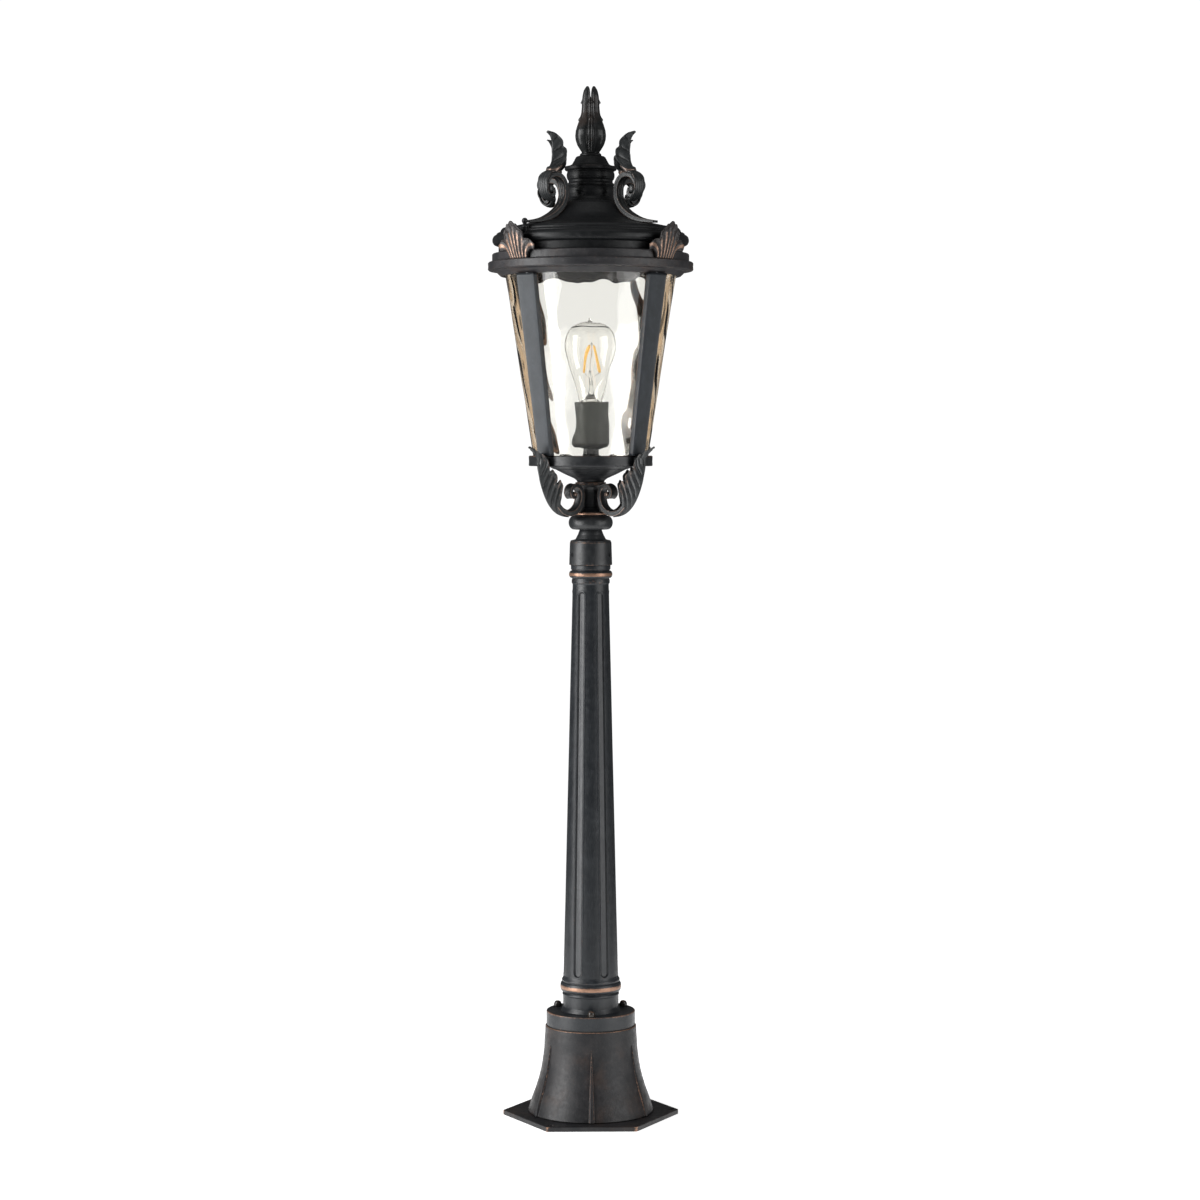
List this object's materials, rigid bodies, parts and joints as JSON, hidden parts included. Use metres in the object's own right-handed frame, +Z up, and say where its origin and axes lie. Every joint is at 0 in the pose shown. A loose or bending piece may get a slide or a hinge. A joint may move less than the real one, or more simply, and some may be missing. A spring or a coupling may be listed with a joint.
{
  "type": "post lantern",
  "caption": "Freestanding garden post lantern: bell foot on a hexagonal plate, fluted tapered post, round ribbed lantern with tapered glass, hinged ogee roof, scroll brackets and bud finial.",
  "frame": {"origin": "centre of the foot's underside, on the post's axis and at the centre of the three anchor holes", "axes": "+Z up along the post; the front faces -Y and the roof's hinge is at +Y; one anchor hole lies on +X"},
  "size_m": [0.2484, 0.2563, 1.2525],
  "materials": {
    "antique_casting": "satin dark antique paint over cast aluminium, copper rubbed through on the edges",
    "rubbed_copper_casting": "dark paint with copper rubbed over the ridges",
    "black_rubber": "matte",
    "zinc_steel": "zinc plated",
    "dark_steel": "blackened, satin",
    "aged_brass": "blackened with worn high spots",
    "white_plastic": "moulded",
    "cable_sheath": "smooth extruded sheath",
    "rippled_glass": "clear rippled water glass with a faint champagne tint",
    "bulb_clear_glass": "clear thin blown glass",
    "amber_phosphor": "phosphor coated filament sticks",
    "olive_sleeve": "matte dark olive grey",
    "white_porcelain": "glazed",
    "brass": "drawn sheet",
    "nickel_plate": "nickel plated sheet"
  },
  "bodies": {
    "post": {"base_casting": "antique_casting", "bottom_bowl": "antique_casting", "cable_grommet": "black_rubber", "cage_rib_back_left": "antique_casting", "cage_rib_back_right": "antique_casting", "cage_rib_front_left": "antique_casting", "cage_rib_front_right": "antique_casting", "cage_top_ring": "antique_casting", "column": "antique_casting", "flange_cap_nuts": "aged_brass", "flange_gasket": "black_rubber", "flange_studs": "zinc_steel", "glass_base_gasket": "black_rubber", "glass_shade": "rippled_glass", "glass_top_gasket": "black_rubber", "grub_screws": "zinc_steel", "hinge_fixed_leaf": "dark_steel", "hinge_pin": "zinc_steel", "hinge_screws": "zinc_steel", "holder_contact": "brass", "holder_core": "white_porcelain", "holder_nipple": "antique_casting", "holder_sleeve": "olive_sleeve", "holder_thread_shell": "brass", "internal_lead": "cable_sheath", "lower_leaf_back_left": "antique_casting", "lower_leaf_back_right": "antique_casting", "lower_leaf_front_left": "antique_casting", "lower_leaf_front_right": "antique_casting", "lower_ring": "antique_casting", "palmette_back_left": "rubbed_copper_casting", "palmette_back_right": "rubbed_copper_casting", "palmette_front_left": "rubbed_copper_casting", "palmette_front_right": "rubbed_copper_casting", "post_fitter": "antique_casting", "rib_screws": "zinc_steel", "stem_bead": "antique_casting", "stem_spool": "antique_casting", "terminal_block": "white_plastic", "terminal_bracket": "zinc_steel", "threaded_tube": "zinc_steel", "tube_nuts": "zinc_steel"},
    "roof": {"roof_canopy": "antique_casting", "roof_drum": "antique_casting", "roof_cap": "antique_casting", "finial_bud": "antique_casting", "finial_rod": "zinc_steel", "rod_crossbar": "zinc_steel", "rod_nut": "zinc_steel", "hinge_roof_leaf": "dark_steel", "upper_scroll_front_left": "antique_casting", "upper_scroll_front_right": "antique_casting", "upper_scroll_back_left": "antique_casting", "upper_scroll_back_right": "antique_casting"},
    "latch_shaft": {"latch_screw": "dark_steel"},
    "latch_head": {"latch_knob": "dark_steel"},
    "bulb_base": {"bulb_cap": "nickel_plate"},
    "bulb_envelope": {"bulb_glass": "bulb_clear_glass", "bulb_stem": "bulb_clear_glass", "bulb_filaments": "amber_phosphor"}
  },
  "joints": [
    {"name": "roof_hinge", "type": "hinge", "parent": "post", "child": "roof", "pos_m": [0, 0.1285, 1.054], "axis": [-1, 0, 0], "range_deg": [0, 105]},
    {"name": "latch_lift", "type": "slide", "parent": "roof", "child": "latch_shaft", "axis": [0, 0, 1], "range_m": [0, 0.0088]},
    {"name": "latch_turn", "type": "hinge", "parent": "latch_shaft", "child": "latch_head", "pos_m": [-0.07889, -0.08285, 1.0874], "axis": [0, 0, 1], "range_deg": [0, 3960]},
    {"name": "bulb_lift", "type": "slide", "parent": "post", "child": "bulb_base", "axis": [0, 0, 1], "range_m": [0, 0.0218]},
    {"name": "bulb_turn", "type": "hinge", "parent": "bulb_base", "child": "bulb_envelope", "pos_m": [0, 0, 0.94], "axis": [0, 0, 1], "range_deg": [0, 2160]}
  ],
  "couplings": [
    {"joint": "latch_turn", "follows": "latch_lift", "rad_per_m": 7854},
    {"joint": "bulb_lift", "follows": "bulb_turn", "m_per_rad": 0.00057773}
  ]
}
